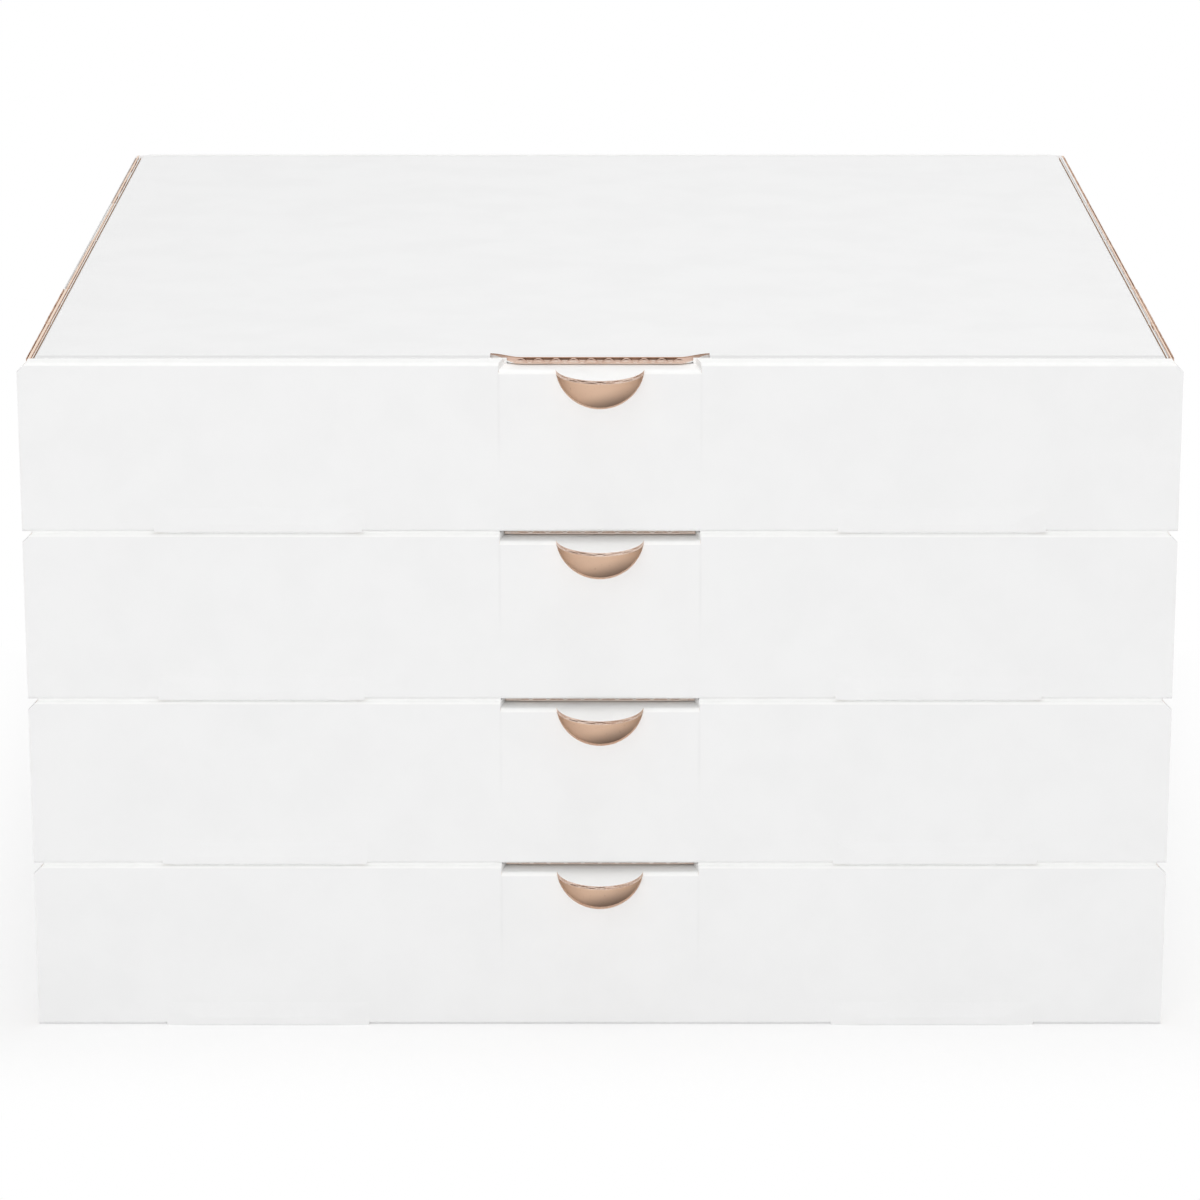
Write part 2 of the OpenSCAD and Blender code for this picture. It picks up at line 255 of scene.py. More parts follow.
def makeBoxLevel():
    # how far a point lies above the bottom and below the top of the box that it is in
    group, given, out = newGroup(
        "boxLevel",
        [("Vector", "NodeSocketVector", None)],
        [("Above", "NodeSocketFloat"), ("Below", "NodeSocketFloat")])
    high = boxHeight * millimetre
    above = calculate(group, "MODULO", splitVector(group, given.outputs["Vector"])[2], high)
    plug(group, above, out.inputs["Above"])
    plug(group, calculate(group, "SUBTRACT", high, above), out.inputs["Below"])
    return group


groups = {
    "paperGrain": makePaperGrain(),
    "fluteRipple": makeFluteRipple(),
    "edgeRub": makeEdgeRub(),
    "boxLevel": makeBoxLevel(),
}
print("shader groups made")


# Materials: white outside, stretched white on the folds with painted light, brown inside with painted shade
# behind the thumb hole, cut edges and the waved sheet

noiseSpan = (0.3, 0.7)       # where most of a noise's values lie
cloudSpan = (0.35, 0.7)


def placeGroup(tree, name, **values):
    node = tree.nodes.new("ShaderNodeGroup")
    node.node_tree = groups[name]
    for label, value in values.items():
        plug(tree, value, node.inputs[label.replace("_", " ")])
    return node


def newMaterial(name):
    material = bpy.data.materials.new(name)
    material.use_nodes = True
    tree = material.node_tree
    shader = tree.nodes["Principled BSDF"]
    place = tree.nodes.new("ShaderNodeTexCoord")
    return material, tree, shader, place


def placeGrain(tree, where, look):
    sizes = {"Fibre_Size": look["fibreSize"], "Cloud_Size": look["cloudSize"]}
    return placeGroup(tree, "paperGrain", Vector=where, **sizes)


def finishSurface(tree, shader, look, colour, fibres, height):
    # the sockets that every paper finish ends in
    plug(tree, colour, shader.inputs["Base Color"])
    rough = ramp(tree, fibres, *noiseSpan, look["roughLow"], look["roughHigh"])
    plug(tree, rough, shader.inputs["Roughness"])
    shader.inputs["Specular IOR Level"].default_value = look["specular"]
    bump = tree.nodes.new("ShaderNodeBump")
    bump.inputs["Strength"].default_value = look["bumpStrength"]
    bump.inputs["Distance"].default_value = look["bump"]
    plug(tree, height, bump.inputs["Height"])
    plug(tree, bump.outputs["Normal"], shader.inputs["Normal"])


whiteLiner = {
    "clean": linearOf(243, 243, 243),
    "shaded": linearOf(241, 241, 241),
    "rubbed": linearOf(232, 230, 228),
    "seam": linearOf(231, 231, 231),
    "fibreSize": 0.8,        # mm
    "cloudSize": 26.0,       # mm
    "roughLow": 0.55,
    "roughHigh": 0.72,
    "specular": 0.3,
    "rubWidth": 1.6,         # mm
    "rubAmount": 0.25,
    "seamWidth": 0.9,        # mm
    "seamAmount": 0.4,
    "seamFrom": 0.28,        # share of the box's height where the seam begins to show
    "seamFull": 0.7,
    "seamBreaks": 55.0,
    "seamLeast": 0.35,       # what is left of it where it breaks up
    "faceSlack": 0.3,        # mm
    # painted shade along the lid's front fold
    "foldPaintedShade": linearOf(222, 222, 222),
    "foldPaintedShadeFront": 9.0,    # mm behind the front panel's face, where the lid's front fold goes down
    "foldPaintedShadeBack": 10.4,
    "ripple": 0.3,           # share of the bump that the flutes make
    "bumpStrength": 0.6,
    "bump": 0.00005,         # m
}


def seamMask(tree, where, look):
    # the flaps' ends show faintly through the front panel, fading out towards its foot
    x, y, z = splitVector(tree, where)
    high = boxHeight * millimetre
    side = calculate(tree, "SUBTRACT", calculate(tree, "ABSOLUTE", x), sheet["ledgeHalf"] * millimetre)
    reach = look["seamWidth"] * millimetre
    line = ramp(tree, calculate(tree, "ABSOLUTE", side), 0.0, reach, 1.0, 0.0)
    level = placeGroup(tree, "boxLevel", Vector=where).outputs["Above"]
    fade = ramp(tree, level, look["seamFrom"] * high, look["seamFull"] * high)
    onFront = calculate(tree, "LESS_THAN", y, -(sheet["half"] - look["faceSlack"]) * millimetre)
    mask = calculate(tree, "MULTIPLY", calculate(tree, "MULTIPLY", line, fade), onFront)
    broken = ramp(tree, noise(tree, where, look["seamBreaks"]), 0.3, 0.6, look["seamLeast"], 1.0)
    return calculate(tree, "MULTIPLY", mask, broken)


def foldPaintedShadeMask(tree, where, look):
    # painted shade along the lid's front fold, where it goes down into the gap behind the rolled wall
    y = splitVector(tree, where)[1]
    front, back = [(look[key] - sheet["half"]) * millimetre for key in ("foldPaintedShadeFront", "foldPaintedShadeBack")]
    middle = (front + back) / 2
    past = ramp(tree, y, front, middle)
    before = ramp(tree, y, middle, back, 1.0, 0.0)
    return calculate(tree, "MULTIPLY", past, before)


def makeWhiteLiner(look):
    material, tree, shader, place = newMaterial("whiteLiner")
    where = place.outputs["Object"]
    grain = placeGrain(tree, where, look)
    ripple = placeGroup(tree, "fluteRipple", Vector=where, Normal=place.outputs["Normal"])
    rub = placeGroup(tree, "edgeRub", Vector=where, Width=look["rubWidth"], Amount=look["rubAmount"])
    cloudy = ramp(tree, grain.outputs["Clouds"], *cloudSpan)
    colour = mixColour(tree, cloudy, look["clean"], look["shaded"])
    seam = seamMask(tree, where, look)
    faint = calculate(tree, "MULTIPLY", seam, look["seamAmount"])
    colour = mixColour(tree, faint, colour, look["seam"])
    colour = mixColour(tree, rub.outputs["Mask"], colour, look["rubbed"])
    # painted shade along the lid's front fold
    colour = mixColour(tree, foldPaintedShadeMask(tree, where, look), colour, look["foldPaintedShade"])
    ribs = calculate(tree, "MULTIPLY", ripple.outputs["Height"], look["ripple"])
    height = calculate(tree, "ADD", ribs, grain.outputs["Height"])
    height = calculate(tree, "SUBTRACT", height, seam)
    finishSurface(tree, shader, look, colour, grain.outputs["Fibres"], height)
    return material


# painted light: the folded liner is a brighter copy of the white liner
foldedLinerPaintedLight = {
    "stretched": linearOf(251, 251, 250),
    "pressed": linearOf(248, 248, 247),
    "fibreSize": 0.7,        # mm
    "cloudSize": 9.0,        # mm
    "roughLow": 0.5,
    "roughHigh": 0.68,
    "specular": 0.3,
    "bumpStrength": 0.6,
    "bump": 0.00005,         # m
}


def makeFoldedLinerPaintedLight(look):
    # the liner is stretched smooth where the board is rolled or pressed; its brighter colour is painted
    # light: a painted highlight on the rolled tops and painted light on the ledge in the shade of the box
    # above
    material, tree, shader, place = newMaterial("foldedLinerPaintedLight")
    grain = placeGrain(tree, place.outputs["Object"], look)
    cloudy = ramp(tree, grain.outputs["Clouds"], *cloudSpan)
    colour = mixColour(tree, cloudy, look["stretched"], look["pressed"])
    finishSurface(tree, shader, look, colour, grain.outputs["Fibres"], grain.outputs["Height"])
    return material


brownLiner = {
    "light": linearOf(228, 198, 170),
    "dark": linearOf(218, 186, 157),
    "fleck": linearOf(172, 135, 106),
    # painted light and painted shade of the inner panel behind the thumb hole
    "pocketPaintedLight": linearOf(254, 226, 202),
    "pocketPaintedShade": linearOf(164, 143, 130),
    "pocketReach": 7.5,      # mm behind the front panel's face
    "pocketHalf": 19.0,
    "pocketMiddle": 49.5,    # mm above the box's bottom
    "pocketHigh": 6.0,
    "pocketAcross": 0.7,     # how strongly the painted shade grows to the right
    "pocketDown": 0.75,      # and downwards
    "fleckScale": 1500.0,
    "fleckAmount": 0.4,
    "fibreSize": 1.1,        # mm
    "cloudSize": 14.0,       # mm
    "roughLow": 0.75,
    "roughHigh": 0.95,
    "specular": 0.2,
    "ripple": 0.5,           # share of the bump that the flutes make
    "bumpStrength": 0.8,
    "bump": 0.00008,         # m
}


def pocketPaintedShadeMasks(tree, where, look):
    # the inner panel behind the thumb hole, which gets painted shade: where it is, and how far to its lower
    # right a point lies
    x, y, z = splitVector(tree, where)
    half = look["pocketHalf"] * millimetre
    behind = calculate(tree, "LESS_THAN", y, (look["pocketReach"] - sheet["half"]) * millimetre)
    within = calculate(tree, "LESS_THAN", calculate(tree, "ABSOLUTE", x), half)
    level = placeGroup(tree, "boxLevel", Vector=where).outputs["Above"]
    above = calculate(tree, "SUBTRACT", level, look["pocketMiddle"] * millimetre)
    high = calculate(tree, "MULTIPLY", above, look["pocketDown"] / (look["pocketHigh"] * millimetre))
    right = calculate(tree, "MULTIPLY", x, look["pocketAcross"] / half)
    lowRight = calculate(tree, "SUBTRACT", right, high)
    return calculate(tree, "MULTIPLY", behind, within), ramp(tree, lowRight, -0.1, 0.95)


def makeBrownLiner(look):
    material, tree, shader, place = newMaterial("brownLiner")
    where = place.outputs["Object"]
    grain = placeGrain(tree, where, look)
    ripple = placeGroup(tree, "fluteRipple", Vector=where, Normal=place.outputs["Normal"])
    colour = mixColour(tree, ramp(tree, grain.outputs["Clouds"], *noiseSpan), look["light"], look["dark"])
    # painted light at the upper left of the inner panel behind the thumb hole, painted shade towards its
    # lower right
    pocket, lowRight = pocketPaintedShadeMasks(tree, where, look)
    shaded = mixColour(tree, lowRight, look["pocketPaintedLight"], look["pocketPaintedShade"])
    colour = mixColour(tree, pocket, colour, shaded)
    specks = noise(tree, stretched(tree, where, 1.0, 0.15, 0.6), look["fleckScale"], 2.0)
    flecks = ramp(tree, specks, 0.66, 0.8, 0.0, look["fleckAmount"])
    colour = mixColour(tree, flecks, colour, look["fleck"])
    ribs = calculate(tree, "MULTIPLY", ripple.outputs["Height"], look["ripple"])
    height = calculate(tree, "ADD", ribs, grain.outputs["Height"])
    finishSurface(tree, shader, look, colour, grain.outputs["Fibres"], height)
    return material


cutEdge = {
    "torn": linearOf(236, 214, 200),
    "pressed": linearOf(200, 168, 148),
    "fuzzScale": 1400.0,
    "fuzzShare": 0.55,
    "patchScale": 60.0,
    "roughLow": 0.8,
    "roughHigh": 1.0,
    "specular": 0.15,
    "bumpStrength": 0.9,
    "bump": 0.0002,          # m
}
# painted light: a lighter copy of the cut edge, for the hole's rim that faces up to the light and for the
# fillings in the lip's openings
holeRimPaintedLight = dict(cutEdge, torn=linearOf(244, 230, 220), pressed=linearOf(232, 208, 192), bump=0.0001)


def makeCutEdge(name, look):
    material, tree, shader, place = newMaterial(name)
    where = place.outputs["Object"]
    fuzz = noise(tree, stretched(tree, where, 1.0, 0.4, 1.0), look["fuzzScale"], 5.0, 0.7)
    patches = noise(tree, where, look["patchScale"], 3.0, 0.6)
    fuzzPart = calculate(tree, "MULTIPLY", fuzz, look["fuzzShare"])
    patchPart = calculate(tree, "MULTIPLY", patches, 1 - look["fuzzShare"])
    both = calculate(tree, "ADD", fuzzPart, patchPart)
    colour = mixColour(tree, ramp(tree, both, 0.4, 0.6), look["pressed"], look["torn"])
    finishSurface(tree, shader, look, colour, fuzz, both)
    return material


lipEdge = {
    "upperLine": linearOf(180, 144, 122),
    "middle": linearOf(220, 190, 174),
    "lowerLine": linearOf(236, 214, 200),
    "covered": linearOf(250, 250, 249),
    "paintedLightCut": linearOf(255, 240, 230),
    "paintedLightAmount": 0.9,      # painted light on the lower boxes' lips, which lie in the shade of the boxes above
    "patchScale": 130.0,
    "patchAmount": 0.35,
    "fuzzScale": 1300.0,
    "looseness": 0.3,        # mm by which the lines wander
    "upperDepth": 0.35,      # mm
    "lowerDepth": 1.7,
    "straightHalf": 29.0,
    "rootHalf": 39.3,
    "endDepth": 0.5,         # mm of the edge that shows at the lip's ends
    "roughLow": 0.8,
    "roughHigh": 1.0,
    "specular": 0.15,
    "bumpStrength": 0.8,
    "bump": 0.0001,          # m
}


def makeLipEdge(look):
    # upper liner, waved sheet and lower liner of the lip's cut edge, which thins out towards its ends
    material, tree, shader, place = newMaterial("lipEdge")
    where = place.outputs["Object"]
    x, y, z = splitVector(tree, where)
    depth = placeGroup(tree, "boxLevel", Vector=where).outputs["Below"]
    fuzz = noise(tree, where, look["fuzzScale"], 4.0, 0.7)
    patches = noise(tree, where, look["patchScale"], 3.0, 0.6)
    offMiddle = calculate(tree, "SUBTRACT", fuzz, 0.5)
    loose = calculate(tree, "MULTIPLY_ADD", offMiddle, look["looseness"] * millimetre, depth)
    edge = look["upperDepth"] * millimetre
    colour = mixColour(tree, ramp(tree, loose, edge * 0.8, edge * 1.4), look["upperLine"], look["middle"])
    edge = look["lowerDepth"] * millimetre
    colour = mixColour(tree, ramp(tree, loose, edge * 0.9, edge * 1.1), colour, look["lowerLine"])
    dirty = ramp(tree, patches, 0.45, 0.65, 0.0, look["patchAmount"])
    colour = mixColour(tree, dirty, colour, look["upperLine"])
    # the lower boxes' lips are painted lighter: painted light in the shade of the box above
    lower = calculate(tree, "LESS_THAN", z, (len(boxNames) - 1) * boxHeight * millimetre)
    clean = calculate(tree, "MULTIPLY", lower, look["paintedLightAmount"])
    colour = mixColour(tree, clean, colour, look["paintedLightCut"])
    first, last = look["straightHalf"] * millimetre, look["rootHalf"] * millimetre
    whole, thin = sheet["board"] * millimetre, look["endDepth"] * millimetre
    limit = ramp(tree, calculate(tree, "ABSOLUTE", x), first, last, whole * 1.04, thin)
    colour = mixColour(tree, calculate(tree, "GREATER_THAN", depth, limit), colour, look["covered"])
    finishSurface(tree, shader, look, colour, fuzz, fuzz)
    return material


sideEdge = {
    "paper": linearOf(244, 222, 204),
    "line": linearOf(172, 134, 112),
    "covered": linearOf(247, 246, 245),
    # share of the depth where a stretch begins, then mm of white board over it outside and inside
    "stretches": [(0.0, 0.2, 0.2), (0.16, 0.0, 0.3), (0.31, 0.9, 0.3), (0.54, 1.15, 0.5), (0.73, 0.8, 0.8)],
    "rightOuter": 0.2,       # share of the outer cover that the right side keeps
    "rightInner": 0.6,       # mm added to its inner cover
    "lineWidth": 0.13,       # share of the width that shows
    "lineWobble": 0.35,      # mm
    "wanderScale": 45.0,
    "breakScale": 120.0,
    "fuzzScale": 900.0,
    "roughLow": 0.75,
    "roughHigh": 0.95,
    "specular": 0.15,
    "bumpStrength": 0.7,
    "bump": 0.00015,         # m
}


def makeSideEdge(look):
    # cut upper edges of the side walls: two brown lines, and in stretches white board folded over them
    material, tree, shader, place = newMaterial("sideEdge")
    where = place.outputs["Object"]
    x, y, z = splitVector(tree, where)
    share = calculate(tree, "MULTIPLY_ADD", y, 1 / (2 * sheet["half"] * millimetre), 0.5)
    outer, inner = 0.0, 0.0
    lastOuter, lastInner = 0.0, 0.0
    for start, coverOuter, coverInner in look["stretches"]:
        past = calculate(tree, "GREATER_THAN", share, start)
        outer = calculate(tree, "MULTIPLY_ADD", past, (coverOuter - lastOuter) * millimetre, outer)
        inner = calculate(tree, "MULTIPLY_ADD", past, (coverInner - lastInner) * millimetre, inner)
        lastOuter, lastInner = coverOuter, coverInner
    right = calculate(tree, "GREATER_THAN", x, 0.0)
    keep = calculate(tree, "MULTIPLY_ADD", right, look["rightOuter"] - 1, 1.0)
    outer = calculate(tree, "MULTIPLY", outer, keep)
    inner = calculate(tree, "MULTIPLY_ADD", right, look["rightInner"] * millimetre, inner)
    wander = noise(tree, stretched(tree, where, 0.2, 1.0, 0.2), look["wanderScale"])
    offMiddle = calculate(tree, "SUBTRACT", wander, 0.5)
    inner = calculate(tree, "MULTIPLY_ADD", offMiddle, look["lineWobble"] * millimetre, inner)
    sideIn = (sheet["sideOut"] - sheet["board"]) * millimetre
    fromInside = calculate(tree, "SUBTRACT", calculate(tree, "ABSOLUTE", x), sideIn)
    across = calculate(tree, "SUBTRACT", fromInside, inner)
    covers = calculate(tree, "ADD", outer, inner)
    width = calculate(tree, "SUBTRACT", sheet["board"] * millimetre, covers)
    shareAcross = calculate(tree, "DIVIDE", across, width)
    fromMiddle = calculate(tree, "ABSOLUTE", calculate(tree, "SUBTRACT", shareAcross, 0.5))
    line = ramp(tree, fromMiddle, 0.5 - 2 * look["lineWidth"], 0.5 - look["lineWidth"])
    fuzz = noise(tree, stretched(tree, where, 1.0, 0.25, 1.0), look["fuzzScale"], 4.0, 0.7)
    breaks = noise(tree, stretched(tree, where, 0.3, 1.0, 0.3), look["breakScale"])
    line = calculate(tree, "MULTIPLY", line, ramp(tree, breaks, 0.35, 0.6, 0.35, 1.0))
    line = calculate(tree, "MULTIPLY", line, ramp(tree, fuzz, 0.25, 0.5, 0.6, 1.0))
    colour = mixColour(tree, line, look["paper"], look["line"])
    colour = mixColour(tree, calculate(tree, "GREATER_THAN", fromMiddle, 0.5), colour, look["covered"])
    finishSurface(tree, shader, look, colour, fuzz, fuzz)
    return material


# painted light and painted shade in the openings of the waved sheet
waveInside = {
    "light": linearOf(240, 212, 192),
    "paper": linearOf(196, 156, 130),
    "deep": linearOf(150, 114, 92),
    "lipDepth": 1.35,        # mm below the lid's top: openings above it get painted shade, those below it painted light
    "lipFade": 0.3,
    "tabLeft": -11.0,        # mm, the stretch of the thumb tab whose openings get painted shade
    "tabRight": 2.0,
    "tabBelow": 3.0,         # mm below the box's top
    "fibreSize": 0.7,        # mm
    "cloudSize": 5.0,        # mm
    "roughLow": 0.8,
    "roughHigh": 1.0,
    "specular": 0.1,
    "bumpStrength": 0.8,
    "bump": 0.00008,         # m
}


def makeWaveInside(look):
    material, tree, shader, place = newMaterial("waveInside")
    where = place.outputs["Object"]
    grain = placeGrain(tree, where, look)
    shade = mixColour(tree, ramp(tree, grain.outputs["Clouds"], *noiseSpan), look["paper"], look["deep"])
    depth = placeGroup(tree, "boxLevel", Vector=where).outputs["Below"]
    lit = look["lipDepth"] * millimetre
    lipPaintedShade = ramp(tree, depth, lit, lit + look["lipFade"] * millimetre, 1.0, 0.0)
    x = splitVector(tree, where)[0]
    left = calculate(tree, "GREATER_THAN", x, look["tabLeft"] * millimetre)
    right = calculate(tree, "LESS_THAN", x, look["tabRight"] * millimetre)
    below = calculate(tree, "GREATER_THAN", depth, look["tabBelow"] * millimetre)
    inTab = calculate(tree, "MULTIPLY", calculate(tree, "MULTIPLY", left, right), below)
    # painted light in the lower openings; painted shade in the upper ones and along a stretch of the thumb
    # tab
    colour = mixColour(tree, calculate(tree, "MAXIMUM", lipPaintedShade, inTab), look["light"], shade)
    finishSurface(tree, shader, look, colour, grain.outputs["Fibres"], grain.outputs["Height"])
    return material


finishes = {
    "outside": makeWhiteLiner(whiteLiner),
    "folded": makeFoldedLinerPaintedLight(foldedLinerPaintedLight),
    "inside": makeBrownLiner(brownLiner),
    "cut": makeCutEdge("cutEdge", cutEdge),
    "rim": makeCutEdge("holeRimPaintedLight", holeRimPaintedLight),
    "lip": makeLipEdge(lipEdge),
    "side": makeSideEdge(sideEdge),
    "wave": makeWaveInside(waveInside),
}
finishOrder = list(finishes)
print("materials made")


# Which side of the sheet each face of a box is

folds = {
    "reach": 2.6,            # mm that a fold's rounding reaches from the sharp corner
    "slack": 0.06,           # mm by which a face may miss the plane that it belongs to
    "facing": 0.9,           # least part of a normal that faces a panel's outer side
    "flat": 0.9995,          # a face slants if no part of its normal is as large as this
    "cornerReach": 5.0,      # mm from the side that the front panel's slanted corners begin
}


def near(value, target, slack=folds["slack"]):
    return abs(value - target) <= slack


def isSlanting(*normal):
    return max(abs(part) for part in normal) < folds["flat"]


def panelSide(along, value, outer, inner):
    # a panel's two faces: along is the normal's part towards the outer face
    if along > folds["facing"] and near(value, outer):
        return "outside"
    if along < -folds["facing"] and near(value, inner):
        return "inside"
    return None


ledgeZone = {
    "aside": 0.3,            # mm by which the faces of the ledge may lie past its own sizes
    "behind": 0.2,
    "roundTab": 0.5,
    "tabBack": 0.6,
    "tabUnder": 0.05,
    "tabOver": 0.02,
    "rimSlack": 0.12,
}


def ledgeSide(x, y, z, nx, ny, nz):
    # the tipped ledge, its rounded front and the thumb tab, in a frame that lies in the ledge
    tip = math.radians(sheet["ledgeTip"])
    ledgeBack = boxHeight - sheet["board"] - sheet["lipGap"]
    ledgeFront = ledgeBack - sheet["rollDepth"] * math.tan(tip)
    above = (z - ledgeFront) * math.cos(tip) - y * math.sin(tip)
    along = y * math.cos(tip) + (z - ledgeFront) * math.sin(tip)
    up = nz * math.cos(tip) - ny * math.sin(tip)
    if abs(x) > sheet["ledgeHalf"] + ledgeZone["aside"] or y > sheet["rollDepth"] + ledgeZone["behind"]:
        return None
    if near(above, 0) and up > folds["facing"]:
        return "folded"
    inTab = math.hypot(x, along) < sheet["holeRadius"] + ledgeZone["roundTab"]
    tabHigh = -sheet["tabBoard"] - ledgeZone["tabUnder"] < above < ledgeZone["tabOver"]
    if inTab and tabHigh and along < ledgeZone["tabBack"]:
        if up < -0.95 and near(above, -sheet["tabBoard"]):
            return "inside"
        if abs(up) > folds["facing"] or abs(nx) > 0.999:
            return "wave"
        fromHole = math.hypot(x, along - sheet["holeRise"])
        return "cut" if near(fromHole, sheet["holeRadius"], ledgeZone["rimSlack"]) else "wave"
    if -folds["reach"] < above <= 0 and nz > 0.02 and y < folds["reach"]:
        return "folded"
    if above > 0 and abs(nx) > 0.5:
        return "folded"                                     # ends of the ledge
    return None


holeMiddle = boxHeight - sheet["holeBelow"]

trayZone = {
    "edgeSkin": 0.02,        # mm inside the side wall's faces where its cut edge begins
    "edgeDeep": 1.0,         # mm that the grooves and nicks in this edge reach down
    "rimSlack": 0.15,
    "underRoll": 7.5,        # mm below the rolled top where the brown side still shows
    "bulge": 0.01,
    "foldOver": 0.1,
    "foldBelow": 2.0,        # mm below the rolled top where a side wall's fold ends
    "level": 0.01,           # largest part of a normal along a fold
}


def traySide(x, y, z, nx, ny, nz):
    # y counts from the front panel's face and z from the bottom of the box, in mm
    t = sheet["board"]
    depth = 2 * sheet["half"]
    wide = abs(x)
    outwards = nx if x > 0 else -nx
    rollTop = boxHeight - sheet["rollDrop"]
    rollBack = sheet["rollDepth"]
    flapFace = (rollBack - t) / 2
    rearFace = depth - t - sheet["plyGap"]
    side = ledgeSide(x, y, z, nx, ny, nz)
    if side:
        return side
    if nz > folds["facing"] and near(z, rollTop):
        return "folded"
    inSideWall = near(wide, sheet["sideOut"] - t / 2, t / 2 - trayZone["edgeSkin"])
    if inSideWall and z > boxHeight - sheet["sideDrop"] - trayZone["edgeDeep"]:
        return "side"
    onRim = near(math.hypot(x, z - holeMiddle), sheet["holeRadius"], trayZone["rimSlack"])
    if onRim and y < t and abs(ny) < 0.1:
        return "rim"
    tests = (
        panelSide(-nz, z, 0, t),
        panelSide(-ny, y, 0, t),
        panelSide(ny, y, depth, depth - t),
        panelSide(outwards, wide, sheet["sideOut"], sheet["sideOut"] - t),
        panelSide(-ny, y, flapFace, flapFace + t),
        panelSide(ny, y, rollBack, rollBack - t),
        panelSide(ny, y, rearFace, rearFace - t),
    )
    for side in tests:
        if side:
            return side
    if nz < -folds["facing"] and y < rollBack and z > rollTop - trayZone["underRoll"]:
        return "inside"                                     # under the rolled top
    if y < -trayZone["bulge"] and z < boxHeight / 4:
        return "outside"                                    # bulges over the locking tabs
    slanting = isSlanting(nx, ny, nz)
    reach, halfReach = folds["reach"], folds["reach"] / 2
    inFrontFold = y < reach and (z < reach or z > rollTop - reach)
    inBackOfRoll = near(y, rollBack - halfReach, halfReach) and z > rollTop - reach
    inSideFold = near(wide, sheet["sideOut"] - halfReach, halfReach + trayZone["foldOver"])
    inSideFold = inSideFold and z < rollTop - trayZone["foldBelow"]
    inRearFold = y > depth - reach and abs(nx) <= trayZone["level"]
    if slanting and inFrontFold and abs(nx) < trayZone["level"]:
        return "folded" if z > boxHeight / 2 else "outside"
    if slanting and inBackOfRoll and nz > 0:
        return "folded"
    inPanel = y < t + trayZone["foldOver"] and z > boxHeight / 2
    if slanting and inPanel and wide > sheet["half"] - folds["cornerReach"]:
        return "outside"                                    # slanted corners of the front panel
    if slanting and (inSideFold or inRearFold):
        return "outside"
    return "cut"


lidZone = {
    "behind": 4.0,           # mm behind the lid's front that the lip's cut edge runs back
    "half": 42.0,
    "skin": 0.02,            # mm above and below the cut edge
    "deepFrom": 3.9,         # mm behind the lip's front edge where the openings end
    "deepHalf": 32.0,
    "tuckOuter": 0.4,        # mm by which the leaning tuck flap's faces may miss their planes
    "tuckInner": 0.6,
    "foldDeep": 2.0,         # mm below the top where the lid's folds end
}


def lidSide(x, y, z, nx, ny, nz):
    t = sheet["board"]
    wide = abs(x)
    outwards = nx if x > 0 else -nx
    tuckTop = sheet["rollDepth"] + sheet["lidGap"]
    inBoard = boxHeight - t + lidZone["skin"] < z < boxHeight - lidZone["skin"]
    if inBoard and y < tuckTop + lidZone["behind"] and wide < lidZone["half"]:
        deep = y > sheet["lipFront"] + lidZone["deepFrom"] and wide < lidZone["deepHalf"]
        return "lip" if ny < -0.5 and not deep else "wave"
    lean = math.tan(math.radians(sheet["tuckLean"]))
    tuckFace = tuckTop + (boxHeight - z) * lean
    tests = (
        panelSide(nz, z, boxHeight, boxHeight - t),
        panelSide(outwards, wide, sheet["lidHalf"], sheet["lidHalf"] - t),
    )
    for side in tests:
        if side:
            return side
    if ny < -folds["facing"] and near(y, tuckFace, lidZone["tuckOuter"]):
        return "outside"
    if ny > folds["facing"] and near(y, tuckFace + t, lidZone["tuckInner"]):
        return "inside"
    if isSlanting(nx, ny, nz) and nz > 0.05 and z > boxHeight - lidZone["foldDeep"]:
        return "outside"
    return "cut"


def dressBox(node, level, hasTray, hasLid):
    mesh = node.data
    mesh.materials.clear()
    for name in finishOrder:
        mesh.materials.append(finishes[name])
    counts = dict.fromkeys(finishOrder, 0)
    for face in mesh.polygons:
        x, y, z = (value / millimetre for value in face.center)
        normal = face.normal
        y += sheet["half"]
        z -= level * boxHeight
        side = "cut"
        if hasTray:
            side = traySide(x, y, z, *normal)
        if hasLid and side == "cut":
            side = lidSide(x, y, z, *normal)
        face.material_index = finishOrder.index(side)
        counts[side] += 1
    print(node.name, counts)


for level, name in enumerate(boxNames):
    dressBox(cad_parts[name], level, True, name != "top_box_tray")
dressBox(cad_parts[lidName], len(boxNames) - 1, False, True)
print("boxes dressed")


# Small pieces of board that the folds and cuts leave between the panels

def makePiece(name, points, faces, finish):
    # points are in mm, with y from the front panel's face
    mesh = bpy.data.meshes.new(name)
    half = sheet["half"]
    corners = [(x * millimetre, (y - half) * millimetre, z * millimetre) for x, y, z in points]
    mesh.from_pydata(corners, [], faces)
    shape = bmesh.new()
    shape.from_mesh(mesh)
    bmesh.ops.recalc_face_normals(shape, faces=shape.faces)
    shape.to_mesh(mesh)
    shape.free()
    mesh.materials.append(finishes[finish])
    piece = bpy.data.objects.new(name, mesh)
    bpy.context.scene.collection.objects.link(piece)
    return piece


def makePrism(name, profile, left, right, finish, body):
    # profile is a closed outline in y and z
    count = len(profile)
    points = [(x, y, z) for x in (left, right) for y, z in profile]
    sides = [(i, (i + 1) % count, count + (i + 1) % count, count + i) for i in range(count)]
    ends = [tuple(reversed(range(count))), tuple(range(count, 2 * count))]
    piece = makePiece(name, points, sides + ends, finish)
    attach(piece, body)


def rectangle(front, back, low, high):
    return [(front, low), (front, high), (back, high), (back, low)]


def bothSides(inner, outer):
    return ("left", -outer, -inner), ("right", inner, outer)


